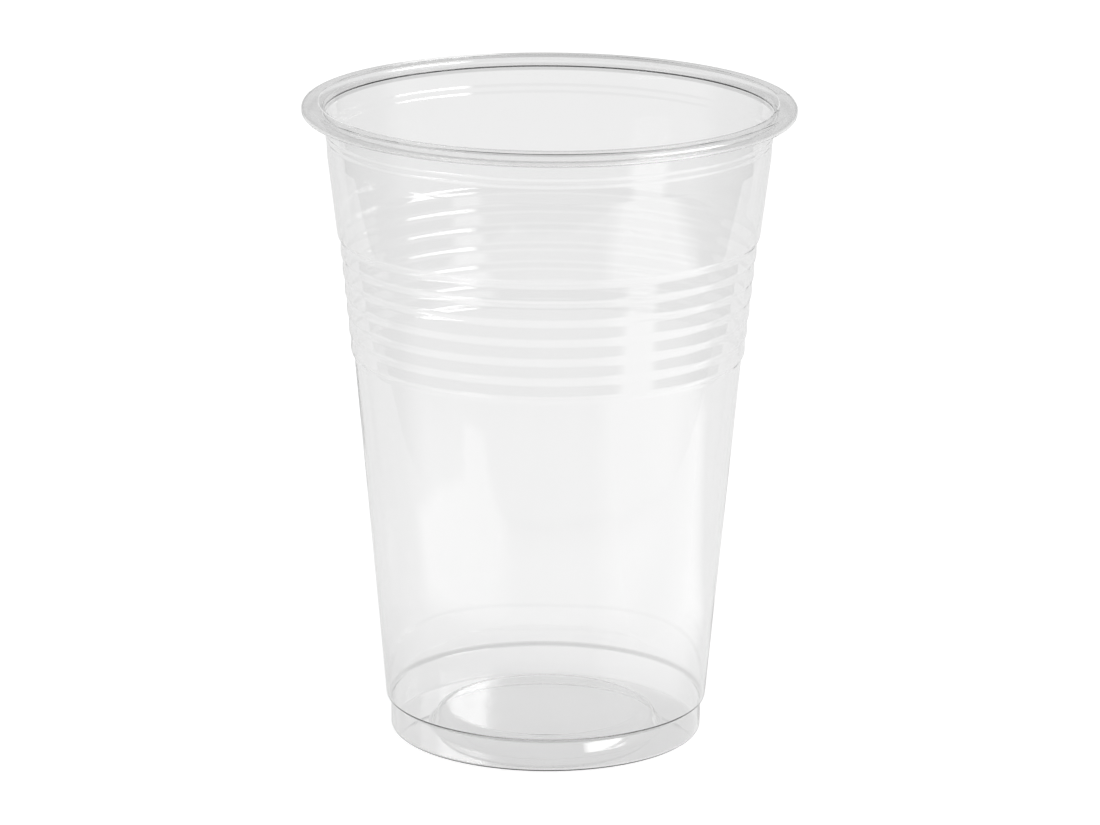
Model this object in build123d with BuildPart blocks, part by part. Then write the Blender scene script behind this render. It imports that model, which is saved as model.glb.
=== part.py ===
from build123d import *
from math import cos, radians, tan
import os

# A clear plastic disposable cup, thermoformed from one sheet: rolled rim, stacking shoulder,
# plain upper wall, a band of stepped ribs, plain lower wall, stacking ledge, and a foot ring
# around a pushed-up floor. Millimetres, the origin is on the table under the cup's axis, +Z is up.

# Overall size, and the thickness of the formed sheet
height = 92.6
rim_radius = 35.15
wall = 0.25

# Rolled rim: the sheet turns out over the top edge, down, and back in to a lip beside the neck
rim_width = 3.15
rim_depth = 2.1
rim_fall = 0.15
rim_widest_drop = 1.2
rim_brow = 0.35
rim_undercut = 0.85
rim_under_rise = 0.25
lip_gap = 0.3

# Neck inside the rolled rim, and the stacking shoulder at its foot
neck_height = 3.8
neck_draft = 5.0
shoulder_height = 1.2
shoulder_step = 0.25

# Upper wall, and the ribs below it: upright bands, each under a short sloping step
upper_wall_height = 14.2
upper_wall_draft = 6.3
band_count = 6
band_height = 1.88
step_height = 0.95
step_in = 0.29
end_step_in = 0.47

# Stacking ledge at the foot of the lower wall, and the foot ring under it
ledge_radius = 23.2
ledge_height = 5.1
ledge_drop = 1.5
ledge_step = 0.7
foot_ease = 0.7

# Floor: a flat ring that the cup stands on, and a raised disc inside it
floor_ring_width = 5.25
floor_rise = 2.5
floor_slope = 2.2


def drawn_in(run, draft):
    """Radius that a wall with this draft loses over this height"""
    return run * tan(radians(draft))


# Radii and heights of the sheet's outer skin, from the rim down to the floor
bead_foot = height - rim_depth
neck_radius = rim_radius - rim_width + wall / cos(radians(neck_draft))
neck_foot = height - neck_height
neck_foot_radius = neck_radius - drawn_in(neck_height, neck_draft)
shoulder_foot = neck_foot - shoulder_height
shoulder_radius = neck_foot_radius - shoulder_step
ribs_top = shoulder_foot - upper_wall_height
ribs_radius = shoulder_radius - drawn_in(upper_wall_height, upper_wall_draft)
foot_radius = ledge_radius - ledge_step
disc_foot_radius = foot_radius - foot_ease - floor_ring_width
disc_radius = disc_foot_radius - floor_slope


def neck_at(z, outset=0):
    """Point at this height on the neck's outer skin, or this far outside it"""
    return (neck_radius - drawn_in(height - z, neck_draft) + outset, z)


def neck_inside_at(z):
    """Point at this height on the neck's inner skin"""
    return neck_at(z, -wall / cos(radians(neck_draft)))


with BuildPart() as cup:
    with BuildSketch(Plane.XZ) as section:
        # Body: the outline of both halves, hollowed to the sheet's thickness
        with BuildLine():
            Polyline(
                (0, height + wall),
                neck_at(height + wall),
                (neck_foot_radius, neck_foot),
                (shoulder_radius, shoulder_foot),
                (ribs_radius, ribs_top),
            )
            rib_corner = Vector(ribs_radius, ribs_top)
            for band in range(band_count):
                band_top = rib_corner - Vector(step_in if band else end_step_in, step_height)
                band_foot = band_top - Vector(0, band_height)
                Polyline(rib_corner, band_top, band_foot)
                rib_corner = band_foot
            Polyline(
                rib_corner,
                rib_corner - Vector(end_step_in, step_height),
                (ledge_radius, ledge_height),
                (foot_radius, ledge_height - ledge_drop),
                (foot_radius, foot_ease),
                (foot_radius - foot_ease, 0),
                (disc_foot_radius, 0),
                (disc_radius, floor_rise),
                (0, floor_rise),
            )
            mirror(about=Plane.YZ)
        make_face()
        offset(amount=-wall, kind=Kind.INTERSECTION, mode=Mode.SUBTRACT)
        # Mouth: the body ends inside the rolled rim
        with Locations((0, height - rim_depth / 2)):
            Rectangle(2 * rim_radius, rim_depth, align=(Align.CENTER, Align.MIN), mode=Mode.SUBTRACT)
        split(bisect_by=Plane.YZ)
        # Rolled rim: its outline, closed along the neck's inner skin and hollowed in the same way
        with BuildLine():
            Polyline(
                neck_inside_at(height),
                (rim_radius - rim_brow, height - rim_fall),
                (rim_radius, height - rim_widest_drop),
                (rim_radius - rim_undercut, bead_foot),
                neck_inside_at(bead_foot + rim_under_rise),
                close=True,
            )
        rim = make_face()
        offset(rim, amount=-wall, kind=Kind.INTERSECTION, mode=Mode.SUBTRACT)
        # Slit between the rolled lip and the neck
        slit_top = bead_foot + rim_under_rise + 2 * wall
        with BuildLine():
            Polyline(
                neck_at(bead_foot),
                neck_at(bead_foot, lip_gap),
                neck_at(slit_top, lip_gap),
                neck_at(slit_top),
                close=True,
            )
        make_face(mode=Mode.SUBTRACT)
    revolve(axis=Axis.Z)

cup.part.label = "cup"
os.makedirs("parts", exist_ok=True)
export_step(cup.part, "parts/cup.step")
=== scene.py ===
from math import atan2, ceil, cos, pi, radians, sin, tan
import bpy
import numpy as np
from mathutils import Matrix, Vector


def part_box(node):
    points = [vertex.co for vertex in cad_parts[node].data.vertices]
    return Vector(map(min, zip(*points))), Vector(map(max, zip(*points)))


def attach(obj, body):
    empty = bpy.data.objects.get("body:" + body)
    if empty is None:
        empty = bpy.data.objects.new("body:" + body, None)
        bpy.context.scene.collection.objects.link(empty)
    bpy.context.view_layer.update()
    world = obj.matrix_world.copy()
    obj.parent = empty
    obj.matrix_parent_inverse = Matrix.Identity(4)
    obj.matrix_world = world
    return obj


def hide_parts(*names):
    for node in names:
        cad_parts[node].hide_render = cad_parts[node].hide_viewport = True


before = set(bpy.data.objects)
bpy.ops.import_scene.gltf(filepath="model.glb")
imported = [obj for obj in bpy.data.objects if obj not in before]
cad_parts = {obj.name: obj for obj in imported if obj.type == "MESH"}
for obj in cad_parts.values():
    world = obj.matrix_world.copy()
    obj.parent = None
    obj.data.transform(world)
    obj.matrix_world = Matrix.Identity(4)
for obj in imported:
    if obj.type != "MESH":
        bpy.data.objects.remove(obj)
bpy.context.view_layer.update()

# A clear plastic disposable cup, formed from one thin sheet. Lengths are in millimetres until the
# mesh is made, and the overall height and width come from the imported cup.
MM = 0.001
top_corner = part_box("cup")[1]
height = top_corner.z / MM
rim_radius = top_corner.x / MM
wall = 0.25

# Rolled rim
rim_width = 3.15
rim_depth = 2.1
rim_fall = 0.15
rim_top_round = 0.9
rim_bottom_round = 0.95
rim_inner_round = 0.9
rim_under_rise = 0.25
lip_gap = 0.3
lip_steps = 4

# Neck inside the rim, the stacking shoulder of small steps, and the steep collar under each step
neck_height = 4.2
neck_draft = 5.0
shoulder_height = 0.4
shoulder_step = 0.13
shoulder_round = 1.0
collar_heights = (0.6, 2.2)
collar_draft = 2.4
collar_round = 3.0

# Upper wall, and the ribs below it
upper_wall_height = 11.4
upper_wall_draft = 7.0
band_count = 6
band_height = 1.98
step_height = 0.85
step_in = 0.29
end_step_in = 0.47
rib_round = 2.0
end_rib_round = 1.4

# Stacking ledge and foot
ledge_radius = 23.2
ledge_height = 5.0
ledge_drop = 0.6
ledge_step = 0.7
ledge_round = 0.3
foot_radius = ledge_radius - ledge_step
foot_round = 0.5

# Floor: a flat ring that the cup stands on, and inside it a raised disc with a sloping crown
ring_inner_radius = 16.5
crown_foot_radius = 15.4
crown_foot = 2.0
disc_radius = 14.2
floor_rise = 2.5
ring_round = 1.0
crown_round = 1.4
disc_round = 2.5

# How finely the mesh follows the form, and the distance below which two points are one
segments = 256
arc_step = radians(9)
straight_step = 4.0
same_point = 0.0001

# Painted shade at two creases, the stacking ledge and just above the foot of the rim's bead. There
# the plastic's colour is greyed to stand in for the dark lines that the light leaves: their
# heights, how far each reaches up and down, and how much of the light is left in its middle
ledge_crease = ledge_height - ledge_drop / 2
bead_crease_rise = 0.1
bead_crease = height - rim_depth + bead_crease_rise
crease_shade_reach = 0.32
crease_shade_grey = 0.76

# Streaks from the forming, which run up the wall: their scale, how much tint and roughness they
# bring, and how uneven they make the skin, in metres
streak_scale = (120, 120, 30)
streak_detail = 3.0
streak_tint = 0.98
streak_roughness = 0.03
skin_strength = 0.05
skin_depth = 0.0005
plastic_ior = 1.5

# Camera, fitted to the rings of the rim and the foot in the photograph, in metres and degrees. The
# lens and the sensor are in millimetres.
camera_distance = 0.7490
camera_height = 0.2522
camera_pitch = 15.336
camera_roll = 0.38
camera_aside = 0.00035
focal_length = 176.87
sensor_width = 36.0

# White paper that the cup stands on: its outline and the border in which it fades out, in metres,
# and the grey of its mottled surface
paper_edge = [
    (0.0, -0.19),
    (0.06, -0.185),
    (0.12, -0.168),
    (0.155, -0.14),
    (0.18, -0.09),
    (0.188, -0.04),
    (0.19, 0.02),
    (0.205, 0.066),
    (0.223, 0.1),
    (0.239, 0.137),
    (0.3, 0.26),
    (0.3, 2.0),
    (-0.3, 2.0),
    (-0.3, 0.26),
    (-0.239, 0.137),
    (-0.223, 0.1),
    (-0.205, 0.066),
    (-0.19, 0.0),
    (-0.18, -0.06),
    (-0.13, -0.14),
    (-0.06, -0.185),
]
paper_border = 0.004
paper_height = -0.0003
paper_shades = (0.29, 0.31)
mottle_scale = 40.0

# Outline of the bright patch of light that the lamp at the right throws across the table
patch_edge = [
    (0.02, -0.042),
    (0.084, -0.164),
    (0.148, -0.196),
    (0.206, -0.245),
    (0.228, -0.268),
    (0.298, -0.178),
    (0.272, -0.148),
    (0.214, -0.106),
    (0.209, -0.06),
    (0.204, -0.02),
    (0.15, 0.045),
    (0.055, 0.032),
]
patch_border = 0.026
patch_height = -0.0001

# Brightness of the paper seen through the cup, what the camera and the part in front of the cup
# have on top of it, and the patch of light. What the front part has on top is painted light, seen
# only in the skin's mirror image.
paper_glow = 0.635
camera_glow = 0.26
front_painted_light = 0.42
patch_glow = 1.68

# Where the painted light on the front part starts and is full: across the table towards the
# camera, and away from the cup's foot, so that a painted shadow is left round the foot. Farther
# out it is full at the first distance and gone at the second.
front_start = (0.02, -0.04)
painted_foot_shadow = (0.026, 0.045)
front_reach = (0.11, 0.2)

# Brightness of the room that the skin mirrors, in front and behind, by the sine of the height, and
# of the room in front where it is only seen through the cup. The front turns into the back between
# two places, as shares of the way to the back.
front_levels = [(-0.6, 0.5), (-0.24, 0.52), (-0.13, 1.04), (0.05, 1.04), (0.2, 0.5), (0.6, 0.32)]
back_levels = [(-0.3, 0.48), (0.0, 0.55), (0.4, 0.7), (0.9, 0.32)]
room_glow = 0.8
back_start = (-0.15, 0.25)

# How often light is followed through the plastic, and as a mirror image
bounces = 32
mirror_bounces = 16


def drawn_in(run, draft):
    """Radius that a wall with this draft loses over this height"""
    return run * tan(radians(draft))


def neck_at(z):
    """Point on the neck's outer skin at this height"""
    neck_radius = rim_radius - rim_width + wall / cos(radians(neck_draft))
    return (neck_radius - drawn_in(height - z, neck_draft), z)


def sheet_corners():
    """Corners of the sheet's table side, from the rolled lip to the middle of the floor, each
    with the radius of its round"""
    bead_foot = height - rim_depth
    lip = neck_at(bead_foot)[0] + lip_gap
    corners = [
        (lip, bead_foot + wall + rim_under_rise, 0),
        (rim_radius - wall, bead_foot + wall, rim_bottom_round - wall),
        (rim_radius - wall, height - rim_fall - wall, rim_top_round - wall),
        (*neck_at(height - wall), rim_inner_round - wall),
    ]
    radius, z = neck_at(height - neck_height)
    for collar_height in collar_heights:
        corners.append((radius, z, shoulder_round))
        radius, z = radius - shoulder_step, z - shoulder_height
        corners.append((radius, z, shoulder_round))
        radius, z = radius - drawn_in(collar_height, collar_draft), z - collar_height
    corners.append((radius, z, collar_round))
    radius, z = radius - drawn_in(upper_wall_height, upper_wall_draft), z - upper_wall_height
    corners.append((radius, z, end_rib_round))
    for band in range(band_count):
        radius, z = radius - (step_in if band else end_step_in), z - step_height
        corners.append((radius, z, rib_round if band else end_rib_round))
        z -= band_height
        corners.append((radius, z, rib_round if band < band_count - 1 else end_rib_round))
    radius, z = radius - end_step_in, z - step_height
    corners += [
        (radius, z, end_rib_round),
        (ledge_radius, ledge_height, ledge_round),
        (foot_radius, ledge_height - ledge_drop, ledge_round),
        (foot_radius, 0, foot_round),
        (ring_inner_radius, 0, ring_round),
        (crown_foot_radius, crown_foot, crown_round),
        (disc_radius, floor_rise, disc_round),
        (0, floor_rise, 0),
    ]
    return corners


def rounded(corners):
    """Points along a path with each corner rounded, and the direction of the path at each"""
    points = []
    directions = []
    places = [np.array(corner[:2], float) for corner in corners]
    start = places[0]
    for i in range(1, len(corners)):
        along = places[i] - places[i - 1]
        along /= np.linalg.norm(along)
        last = i == len(corners) - 1
        turn = 0.0
        if not last:
            onward = places[i + 1] - places[i]
            onward /= np.linalg.norm(onward)
            turn = atan2(along[0] * onward[1] - along[1] * onward[0], along @ onward)
        radius = corners[i][2]
        end = places[i] - along * radius * tan(abs(turn) / 2)
        pieces = max(1, ceil(np.linalg.norm(end - start) / straight_step))
        for k in range(pieces + 1):
            points.append(start + (end - start) * k / pieces)
            directions.append(along)
        steps = ceil(abs(turn) / arc_step) if radius else 0
        side = np.array((-along[1], along[0])) * np.sign(turn)
        for k in range(1, steps):
            angle = turn * k / steps
            points.append(end + radius * (along * sin(abs(angle)) + side * (1 - cos(angle))))
            directions.append(along * cos(angle) + side * sin(abs(angle)))
        if not last:
            start = places[i] + onward * radius * tan(abs(turn) / 2)
    return np.array(points), np.array(directions)


def sheet_outline():
    """Outline of half the cup's section, and its outward direction at each point: up its table
    side from the middle of the floor to the lip, round the lip, and back along its drink side"""
    table_side, directions = rounded(sheet_corners())
    inward = np.stack([directions[:, 1], -directions[:, 0]], 1)
    drink_side = table_side + wall * inward
    middle = (table_side[0] + drink_side[0]) / 2
    lip = []
    for k in range(1, lip_steps):
        angle = pi * k / lip_steps
        lip.append(-inward[0] * cos(angle) - directions[0] * sin(angle))
    outline = np.concatenate([table_side[::-1], middle + wall / 2 * np.array(lip), drink_side])
    outward = np.concatenate([-inward[::-1], lip, inward])
    return outline, outward


def revolved(name, outline, outward):
    """Mesh object made by turning an outline, which starts and ends on the axis, about Z"""
    keep = np.ones(len(outline), bool)
    keep[1:] = np.linalg.norm(np.diff(outline, axis=0), axis=1) > same_point
    outline = outline[keep] * MM
    outward = outward[keep]
    turns = np.arange(segments) * 2 * pi / segments
    rings = outline[1:-1]
    verts = [(0, 0, outline[0][1])]
    normals = [(0, 0, outward[0][1])]
    for (radius, z), (aside, up) in zip(rings, outward[1:-1]):
        for turn in turns:
            verts.append((radius * cos(turn), radius * sin(turn), z))
            normals.append((aside * cos(turn), aside * sin(turn), up))
    verts.append((0, 0, outline[-1][1]))
    normals.append((0, 0, outward[-1][1]))
    faces = []
    for s in range(segments):
        after = (s + 1) % segments
        faces.append((0, 1 + after, 1 + s))
        for r in range(len(rings) - 1):
            a = 1 + r * segments
            b = a + segments
            faces.append((a + s, a + after, b + after, b + s))
        a = 1 + (len(rings) - 1) * segments
        faces.append((a + s, a + after, len(verts) - 1))
    mesh = bpy.data.meshes.new(name)
    mesh.from_pydata(verts, [], faces)
    mesh.polygons.foreach_set("use_smooth", [True] * len(mesh.polygons))
    mesh.normals_split_custom_set_from_vertices(normals)
    piece = bpy.data.objects.new(name, mesh)
    bpy.context.collection.objects.link(piece)
    return piece


def new_material(name):
    """Empty material with its node tree and output"""
    material = bpy.data.materials.new(name)
    material.use_nodes = True
    nodes = material.node_tree.nodes
    nodes.clear()
    return material, nodes, material.node_tree.links, nodes.new("ShaderNodeOutputMaterial")


def feed(links, socket, value):
    """Gives a socket its value, which is a number or the output of another node"""
    if isinstance(value, (int, float)):
        socket.default_value = value
    else:
        links.new(value, socket)


def math_node(nodes, links, operation, first, second):
    """Result of this operation on two values"""
    node = nodes.new("ShaderNodeMath")
    node.operation = operation
    feed(links, node.inputs[0], first)
    feed(links, node.inputs[1], second)
    return node.outputs[0]


def ease_node(nodes, links, value, start, end):
    """0 where the value is at its start, 1 where it is at its end, and a soft step in between"""
    node = nodes.new("ShaderNodeMapRange")
    node.interpolation_type = "SMOOTHSTEP"
    links.new(value, node.inputs["Value"])
    node.inputs["From Min"].default_value = start
    node.inputs["From Max"].default_value = end
    return node.outputs["Result"]


def crease_shade_node(nodes, links, z, middle):
    """1 at the height of a crease where shade is painted, falling to 0 above and below it"""
    away = math_node(nodes, links, "SUBTRACT", z, middle * MM)
    away = math_node(nodes, links, "MULTIPLY", away, away)
    return ease_node(nodes, links, away, (crease_shade_reach * MM) ** 2, 0.0)


def clear_plastic():
    """Clear plastic: faint streaks in its tint and its gloss, painted shade that greys it at the
    two creases, and a slightly uneven skin"""
    material, nodes, links, output = new_material("clear_plastic")
    place = nodes.new("ShaderNodeTexCoord")
    stretch = nodes.new("ShaderNodeMapping")
    stretch.inputs["Scale"].default_value = streak_scale
    links.new(place.outputs["Object"], stretch.inputs["Vector"])
    streaks = nodes.new("ShaderNodeTexNoise")
    streaks.inputs["Scale"].default_value = 1.0
    streaks.inputs["Detail"].default_value = streak_detail
    links.new(stretch.outputs["Vector"], streaks.inputs["Vector"])
    tint = nodes.new("ShaderNodeValToRGB")
    tint.color_ramp.elements[0].color = (streak_tint, streak_tint, streak_tint, 1)
    tint.color_ramp.elements[1].color = (1, 1, 1, 1)
    links.new(streaks.outputs["Fac"], tint.inputs["Fac"])
    parts = nodes.new("ShaderNodeSeparateXYZ")
    links.new(place.outputs["Object"], parts.inputs["Vector"])
    ledge = crease_shade_node(nodes, links, parts.outputs["Z"], ledge_crease)
    bead = crease_shade_node(nodes, links, parts.outputs["Z"], bead_crease)
    # Painted shade: the plastic's colour is greyed at the ledge and bead creases
    crease_shaded = nodes.new("ShaderNodeMix")
    crease_shaded.data_type = "RGBA"
    crease_shaded.blend_type = "MULTIPLY"
    links.new(math_node(nodes, links, "ADD", ledge, bead), crease_shaded.inputs["Factor"])
    links.new(tint.outputs["Color"], crease_shaded.inputs["A"])
    crease_shaded.inputs["B"].default_value = (crease_shade_grey, crease_shade_grey, crease_shade_grey, 1)
    roughness = math_node(nodes, links, "MULTIPLY", streaks.outputs["Fac"], streak_roughness)
    skin = nodes.new("ShaderNodeBump")
    skin.inputs["Strength"].default_value = skin_strength
    skin.inputs["Distance"].default_value = skin_depth
    links.new(streaks.outputs["Fac"], skin.inputs["Height"])
    plastic = nodes.new("ShaderNodeBsdfPrincipled")
    plastic.inputs["Transmission Weight"].default_value = 1.0
    plastic.inputs["IOR"].default_value = plastic_ior
    links.new(crease_shaded.outputs["Result"], plastic.inputs["Base Color"])
    links.new(roughness, plastic.inputs["Roughness"])
    links.new(skin.outputs["Normal"], plastic.inputs["Normal"])
    links.new(plastic.outputs["BSDF"], output.inputs["Surface"])
    return material


def level_node(nodes, links, sine, levels):
    """Brightness that follows a list of levels by the sine of the height above the horizon"""
    share = math_node(nodes, links, "ADD", sine, 1.0)
    share = math_node(nodes, links, "MULTIPLY", share, 0.5)
    ramp = nodes.new("ShaderNodeValToRGB")
    shades = ramp.color_ramp.elements
    for _ in levels[2:]:
        shades.new(0.5)
    for shade, (height_sine, level) in zip(shades, levels):
        shade.position = (height_sine + 1) / 2
        shade.color = (level, level, level, 1)
    links.new(share, ramp.inputs["Fac"])
    return ramp.outputs["Color"]


def mix_node(nodes, links, share, first, second):
    """The first value where the share is 0, and the second where it is 1"""
    node = nodes.new("ShaderNodeMix")
    node.data_type = "FLOAT"
    links.new(share, node.inputs["Factor"])
    feed(links, node.inputs["A"], first)
    feed(links, node.inputs["B"], second)
    return node.outputs["Result"]


def camera_rays(nodes):
    """1 where the camera sees the surface directly"""
    return nodes.new("ShaderNodeLightPath").outputs["Is Camera Ray"]


def mirrored_rays(nodes, links):
    """1 for the rays that the cup's skin has mirrored, and 0 for those that only pass through"""
    path = nodes.new("ShaderNodeLightPath")
    return math_node(nodes, links, "GREATER_THAN", path.outputs["Glossy Depth"], 0.5)


def cover_node(nodes):
    """How much of a sheet there is at each point: 1 inside, falling to 0 at its edge"""
    cover = nodes.new("ShaderNodeAttribute")
    cover.attribute_name = "cover"
    return cover.outputs["Fac"]


def covered(nodes, links, share, shader, output):
    """A sheet's shader, which lets the rest of the light pass straight through"""
    clear = nodes.new("ShaderNodeBsdfTransparent")
    mix = nodes.new("ShaderNodeMixShader")
    links.new(share, mix.inputs["Fac"])
    links.new(clear.outputs["BSDF"], mix.inputs[1])
    links.new(shader, mix.inputs[2])
    links.new(mix.outputs["Shader"], output.inputs["Surface"])


def paper():
    """White paper: soft diffuse white that keeps the object's shadow, and a glow that makes it the
    white background where the camera sees it. The skin mirrors it brighter in front, a painted
    light that leaves a painted shadow round the cup's foot."""
    material, nodes, links, output = new_material("paper")
    mottle = nodes.new("ShaderNodeTexNoise")
    mottle.inputs["Scale"].default_value = mottle_scale
    shade = nodes.new("ShaderNodeValToRGB")
    for element, grey in zip(shade.color_ramp.elements, paper_shades):
        element.color = (grey, grey, grey, 1)
    links.new(mottle.outputs["Fac"], shade.inputs["Fac"])
    diffuse = nodes.new("ShaderNodeBsdfDiffuse")
    links.new(shade.outputs["Color"], diffuse.inputs["Color"])
    place = nodes.new("ShaderNodeTexCoord")
    parts = nodes.new("ShaderNodeSeparateXYZ")
    links.new(place.outputs["Object"], parts.inputs["Vector"])
    away = nodes.new("ShaderNodeVectorMath")
    away.operation = "LENGTH"
    links.new(place.outputs["Object"], away.inputs[0])
    # Painted light on the paper in front, only for mirrored rays, with a painted shadow where it
    # fades out round the foot
    front = ease_node(nodes, links, parts.outputs["Y"], *front_start)
    outside_foot_shadow = ease_node(nodes, links, away.outputs["Value"], *painted_foot_shadow)
    near = ease_node(nodes, links, away.outputs["Value"], front_reach[1], front_reach[0])
    painted_front_light = math_node(nodes, links, "MULTIPLY", front, outside_foot_shadow)
    painted_front_light = math_node(nodes, links, "MULTIPLY", painted_front_light, near)
    painted_front_light = math_node(nodes, links, "MULTIPLY", painted_front_light, mirrored_rays(nodes, links))
    painted_front_light = math_node(nodes, links, "MULTIPLY", painted_front_light, front_painted_light)
    strength = math_node(nodes, links, "ADD", painted_front_light, paper_glow)
    strength = mix_node(nodes, links, camera_rays(nodes), strength, paper_glow + camera_glow)
    glow = nodes.new("ShaderNodeEmission")
    links.new(strength, glow.inputs["Strength"])
    both = nodes.new("ShaderNodeAddShader")
    links.new(diffuse.outputs["BSDF"], both.inputs[0])
    links.new(glow.outputs["Emission"], both.inputs[1])
    covered(nodes, links, cover_node(nodes), both.outputs["Shader"], output)
    return material


def soft_glow(name, strength):
    """A plain glow with a soft edge, only for the rays that the cup's skin mirrors"""
    material, nodes, links, output = new_material(name)
    glow = nodes.new("ShaderNodeEmission")
    glow.inputs["Strength"].default_value = strength
    share = math_node(nodes, links, "MULTIPLY", cover_node(nodes), mirrored_rays(nodes, links))
    covered(nodes, links, share, glow.outputs["Emission"], output)
    return material


def studio():
    """World: white where the camera sees it directly. The cup's skin mirrors a room instead: in
    front a bright band at the horizon, dim below it and overhead, and an even shade behind."""
    world = bpy.data.worlds.new("studio")
    bpy.context.scene.world = world
    world.use_nodes = True
    nodes = world.node_tree.nodes
    links = world.node_tree.links
    nodes.clear()
    output = nodes.new("ShaderNodeOutputWorld")
    background = nodes.new("ShaderNodeBackground")
    place = nodes.new("ShaderNodeTexCoord")
    parts = nodes.new("ShaderNodeSeparateXYZ")
    links.new(place.outputs["Generated"], parts.inputs["Vector"])
    front = level_node(nodes, links, parts.outputs["Z"], front_levels)
    front = mix_node(nodes, links, mirrored_rays(nodes, links), room_glow, front)
    back = level_node(nodes, links, parts.outputs["Z"], back_levels)
    behind = ease_node(nodes, links, parts.outputs["Y"], *back_start)
    room = mix_node(nodes, links, behind, front, back)
    room = mix_node(nodes, links, camera_rays(nodes), room, 1.0)
    links.new(room, background.inputs["Strength"])
    background.inputs["Color"].default_value = (1, 1, 1, 1)
    links.new(background.outputs["Background"], output.inputs["Surface"])


def soft_sheet(name, outline, z, border):
    """Flat stage piece with this outline, at this height, with a border in which it fades out"""
    outer = [Vector(point) for point in outline]
    count = len(outer)
    inner = []
    for i, point in enumerate(outer):
        before = (point - outer[i - 1]).normalized()
        after = (outer[(i + 1) % count] - point).normalized()
        sideways = Vector((-before.y - after.y, before.x + after.x))
        inner.append(point + sideways * border / (1 + before.dot(after)))
    faces = [range(count, 2 * count)]
    for i in range(count):
        after = (i + 1) % count
        faces.append((i, after, count + after, count + i))
    mesh = bpy.data.meshes.new(name)
    mesh.from_pydata([(p.x, p.y, z) for p in outer + inner], [], faces)
    cover = mesh.attributes.new("cover", "FLOAT", "POINT")
    cover.data.foreach_set("value", [0.0] * count + [1.0] * count)
    piece = bpy.data.objects.new(name, mesh)
    bpy.context.collection.objects.link(piece)
    return piece


def face(piece, middle, aim):
    """Puts a lamp or a sheet at this point and turns it to face another one"""
    piece.location = middle
    piece.rotation_euler = (Vector(middle) - Vector(aim)).to_track_quat("Z", "Y").to_euler()
    piece.visible_camera = False


def lamp(name, middle, aim, width, tall, radiance):
    """Rectangular lamp that lights the table, and that the cup's skin doesn't mirror"""
    data = bpy.data.lights.new(name, "AREA")
    data.shape = "RECTANGLE"
    data.size = width
    data.size_y = tall
    data.energy = radiance * width * tall * pi
    piece = bpy.data.objects.new(name, data)
    bpy.context.collection.objects.link(piece)
    face(piece, middle, aim)
    piece.visible_glossy = False
    piece.visible_transmission = False


def window(name, middle, aim, width, tall, border, radiance):
    """Bright standing rectangle with soft edges, which the cup's skin mirrors"""
    right, top = width / 2, tall / 2
    outline = [(-right, -top), (right, -top), (right, top), (-right, top)]
    piece = soft_sheet(name, outline, 0, border)
    piece.data.materials.append(soft_glow(name, radiance))
    face(piece, middle, aim)


def place_camera():
    """Camera at the photograph's viewing angle, rolled a little about its own axis"""
    data = bpy.data.cameras.new("camera")
    data.lens = focal_length
    data.sensor_width = sensor_width
    camera = bpy.data.objects.new("camera", data)
    bpy.context.collection.objects.link(camera)
    place = Matrix.Translation((camera_aside, -camera_distance, camera_height))
    tilt = Matrix.Rotation(radians(90 - camera_pitch), 4, "X")
    camera.matrix_world = place @ tilt @ Matrix.Rotation(radians(camera_roll), 4, "Z")
    bpy.context.scene.camera = camera


cup = revolved("clear_cup", *sheet_outline())
cup.data.materials.append(clear_plastic())
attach(cup, "root")
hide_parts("cup")

sheet = soft_sheet("paper_sheet", paper_edge, paper_height, paper_border)
sheet.data.materials.append(paper())
patch = soft_sheet("light_patch", patch_edge, patch_height, patch_border)
patch.data.materials.append(soft_glow("light_patch", patch_glow))
patch.visible_camera = False
studio()
lamp(
    "softbox_right",
    middle=(0.583, -0.31, 0.40),
    aim=(0, 0, 0.35),
    width=0.56,
    tall=0.31,
    radiance=4.0,
)
window(
    "window_right",
    middle=(0.61, -0.2515, 0.40),
    aim=(0, 0, 0.35),
    width=0.62,
    tall=0.4,
    border=0.1,
    radiance=6.0,
)
window(
    "window_back",
    middle=(-0.0302, 0.6, 0.175),
    aim=(-0.0302, 0, 0.175),
    width=0.0335,
    tall=0.17,
    border=0.005,
    radiance=1.05,
)
place_camera()

scene = bpy.context.scene
scene.view_settings.view_transform = "Standard"
scene.cycles.max_bounces = bounces
scene.cycles.transmission_bounces = bounces
scene.cycles.glossy_bounces = mirror_bounces
